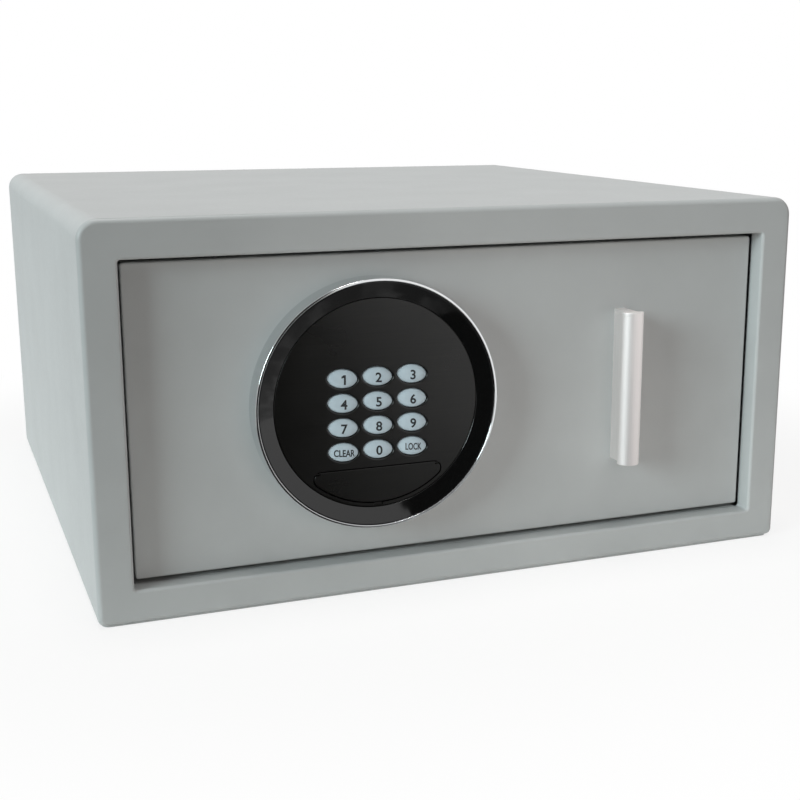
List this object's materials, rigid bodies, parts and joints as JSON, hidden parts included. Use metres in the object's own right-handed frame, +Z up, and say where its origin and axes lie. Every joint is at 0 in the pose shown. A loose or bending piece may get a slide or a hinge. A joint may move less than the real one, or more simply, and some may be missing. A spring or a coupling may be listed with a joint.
{
  "type": "under desk drawer safe",
  "caption": "Low steel safe with a pull-out drawer on telescopic runners, a round keypad, a bar handle and motor-driven bolts behind the drawer front.",
  "frame": {"origin": "centre of the cabinet's underside, on the surface that the safe stands on", "axes": "+Z up, +X to the right seen from the front, -Y towards the user: the drawer opens along -Y"},
  "size_m": [0.43, 0.438, 0.219],
  "materials": {
    "powder_coat": "light grey satin powder coat with a fine texture",
    "zinc_steel": "zinc plated, dull",
    "bright_steel": "bright rolled or turned steel",
    "chrome": "polished chrome plate",
    "gloss_black": "piano black, polished",
    "satin_black": "satin moulded black",
    "key_plastic": "pale blue-grey satin",
    "anodised_aluminium": "clear satin anodised extrusion",
    "rubber": "matt black",
    "silicone": "translucent grey silicone, matt",
    "circuit_board": "green solder mask over glass laminate",
    "felt": "dark needled felt",
    "brass": "turned brass",
    "cell_wrap": "shrunk cell wrap",
    "cage_plastic": "moulded ball cage"
  },
  "bodies": {
    "cabinet": {"cabinet_shell": "powder_coat", "base_plate": "powder_coat", "rear_plate": "powder_coat", "keeper_top": "powder_coat", "keeper_bottom": "powder_coat", "rear_buffer_left": "rubber", "rear_buffer_right": "rubber", "runner_bracket_left": "zinc_steel", "runner_bracket_right": "zinc_steel", "runner_outer_left": "bright_steel", "runner_outer_right": "bright_steel"},
    "runner_left": {"runner_middle_left": "bright_steel"},
    "runner_right": {"runner_middle_right": "bright_steel"},
    "outer_cage_left": {"cage_outer_left": "cage_plastic"},
    "outer_cage_right": {"cage_outer_right": "cage_plastic"},
    "inner_cage_left": {"cage_inner_left": "cage_plastic"},
    "inner_cage_right": {"cage_inner_right": "cage_plastic"},
    "drawer": {"drawer_front": "powder_coat", "drawer_tray": "powder_coat", "tray_mat": "felt", "runner_inner_left": "bright_steel", "runner_inner_right": "bright_steel", "handle": "anodised_aluminium", "handle_screw_lower": "zinc_steel", "handle_screw_upper": "zinc_steel", "bezel_ring": "chrome", "fascia_ring": "gloss_black", "keypad_plate": "satin_black", "keypad_housing": "satin_black", "circuit_board": "circuit_board", "key_membrane": "silicone", "power_socket": "gloss_black", "key_cylinder": "bright_steel", "cylinder_nut": "zinc_steel", "lock_chassis": "zinc_steel", "gear_motor": "zinc_steel", "lock_cover": "satin_black", "battery_cells": "cell_wrap", "battery_cover": "satin_black", "keypad_lead": "rubber"},
    "top_bolts": {"bolt_bar_top": "bright_steel"},
    "bottom_bolts": {"bolt_bar_bottom": "bright_steel"},
    "motor_pinion": {"pinion": "brass"},
    "key_plug": {"key_plug": "brass", "key_cam": "zinc_steel"},
    "flap": {"flap": "satin_black"},
    "reset_button": {"reset_button": "rubber"},
    "key_1": {"key_1": "key_plastic"},
    "key_2": {"key_2": "key_plastic"},
    "key_3": {"key_3": "key_plastic"},
    "key_4": {"key_4": "key_plastic"},
    "key_5": {"key_5": "key_plastic"},
    "key_6": {"key_6": "key_plastic"},
    "key_7": {"key_7": "key_plastic"},
    "key_8": {"key_8": "key_plastic"},
    "key_9": {"key_9": "key_plastic"},
    "key_0": {"key_0": "key_plastic"},
    "key_clear": {"key_clear": "key_plastic"},
    "key_lock": {"key_lock": "key_plastic"}
  },
  "joints": [
    {"name": "drawer_slide", "type": "slide", "parent": "cabinet", "child": "drawer", "axis": [0, -1, 0], "range_m": [0, 0.35]},
    {"name": "runner_left_slide", "type": "slide", "parent": "cabinet", "child": "runner_left", "axis": [0, -1, 0], "range_m": [0, 0.175]},
    {"name": "runner_right_slide", "type": "slide", "parent": "cabinet", "child": "runner_right", "axis": [0, -1, 0], "range_m": [0, 0.175]},
    {"name": "outer_cage_left_slide", "type": "slide", "parent": "cabinet", "child": "outer_cage_left", "axis": [0, -1, 0], "range_m": [0, 0.0875]},
    {"name": "outer_cage_right_slide", "type": "slide", "parent": "cabinet", "child": "outer_cage_right", "axis": [0, -1, 0], "range_m": [0, 0.0875]},
    {"name": "inner_cage_left_slide", "type": "slide", "parent": "cabinet", "child": "inner_cage_left", "axis": [0, -1, 0], "range_m": [0, 0.2625]},
    {"name": "inner_cage_right_slide", "type": "slide", "parent": "cabinet", "child": "inner_cage_right", "axis": [0, -1, 0], "range_m": [0, 0.2625]},
    {"name": "top_bolts_slide", "type": "slide", "parent": "drawer", "child": "top_bolts", "axis": [0, 0, 1], "range_m": [0, 0.014]},
    {"name": "bottom_bolts_slide", "type": "slide", "parent": "drawer", "child": "bottom_bolts", "axis": [0, 0, -1], "range_m": [0, 0.014]},
    {"name": "pinion_turn", "type": "hinge", "parent": "drawer", "child": "motor_pinion", "pos_m": [0.02, -0.189, 0.10855], "axis": [0, 1, 0], "range_deg": [0, 107]},
    {"name": "key_turn", "type": "hinge", "parent": "drawer", "child": "key_plug", "pos_m": [-0.0562, -0.19, 0.06455], "axis": [0, 1, 0], "range_deg": [0, 90]},
    {"name": "flap_hinge", "type": "hinge", "parent": "drawer", "child": "flap", "pos_m": [-0.0562, -0.2128, 0.07375], "axis": [-1, 0, 0], "range_deg": [0, 95]},
    {"name": "reset_press", "type": "slide", "parent": "drawer", "child": "reset_button", "axis": [0, -1, 0], "range_m": [0, 0.0015], "stiffness_N_per_m": 400},
    {"name": "key_1_press", "type": "slide", "parent": "drawer", "child": "key_1", "axis": [0, 1, 0], "range_m": [0, 0.0008], "stiffness_N_per_m": 400},
    {"name": "key_2_press", "type": "slide", "parent": "drawer", "child": "key_2", "axis": [0, 1, 0], "range_m": [0, 0.0008], "stiffness_N_per_m": 400},
    {"name": "key_3_press", "type": "slide", "parent": "drawer", "child": "key_3", "axis": [0, 1, 0], "range_m": [0, 0.0008], "stiffness_N_per_m": 400},
    {"name": "key_4_press", "type": "slide", "parent": "drawer", "child": "key_4", "axis": [0, 1, 0], "range_m": [0, 0.0008], "stiffness_N_per_m": 400},
    {"name": "key_5_press", "type": "slide", "parent": "drawer", "child": "key_5", "axis": [0, 1, 0], "range_m": [0, 0.0008], "stiffness_N_per_m": 400},
    {"name": "key_6_press", "type": "slide", "parent": "drawer", "child": "key_6", "axis": [0, 1, 0], "range_m": [0, 0.0008], "stiffness_N_per_m": 400},
    {"name": "key_7_press", "type": "slide", "parent": "drawer", "child": "key_7", "axis": [0, 1, 0], "range_m": [0, 0.0008], "stiffness_N_per_m": 400},
    {"name": "key_8_press", "type": "slide", "parent": "drawer", "child": "key_8", "axis": [0, 1, 0], "range_m": [0, 0.0008], "stiffness_N_per_m": 400},
    {"name": "key_9_press", "type": "slide", "parent": "drawer", "child": "key_9", "axis": [0, 1, 0], "range_m": [0, 0.0008], "stiffness_N_per_m": 400},
    {"name": "key_0_press", "type": "slide", "parent": "drawer", "child": "key_0", "axis": [0, 1, 0], "range_m": [0, 0.0008], "stiffness_N_per_m": 400},
    {"name": "key_clear_press", "type": "slide", "parent": "drawer", "child": "key_clear", "axis": [0, 1, 0], "range_m": [0, 0.0008], "stiffness_N_per_m": 400},
    {"name": "key_lock_press", "type": "slide", "parent": "drawer", "child": "key_lock", "axis": [0, 1, 0], "range_m": [0, 0.0008], "stiffness_N_per_m": 400}
  ],
  "couplings": [
    {"joint": "runner_left_slide", "follows": "drawer_slide", "ratio": 0.5},
    {"joint": "runner_right_slide", "follows": "drawer_slide", "ratio": 0.5},
    {"joint": "outer_cage_left_slide", "follows": "drawer_slide", "ratio": 0.25},
    {"joint": "outer_cage_right_slide", "follows": "drawer_slide", "ratio": 0.25},
    {"joint": "inner_cage_left_slide", "follows": "drawer_slide", "ratio": 0.75},
    {"joint": "inner_cage_right_slide", "follows": "drawer_slide", "ratio": 0.75},
    {"joint": "bottom_bolts_slide", "follows": "top_bolts_slide", "ratio": 1},
    {"joint": "pinion_turn", "follows": "top_bolts_slide", "rad_per_m": 133.33}
  ]
}
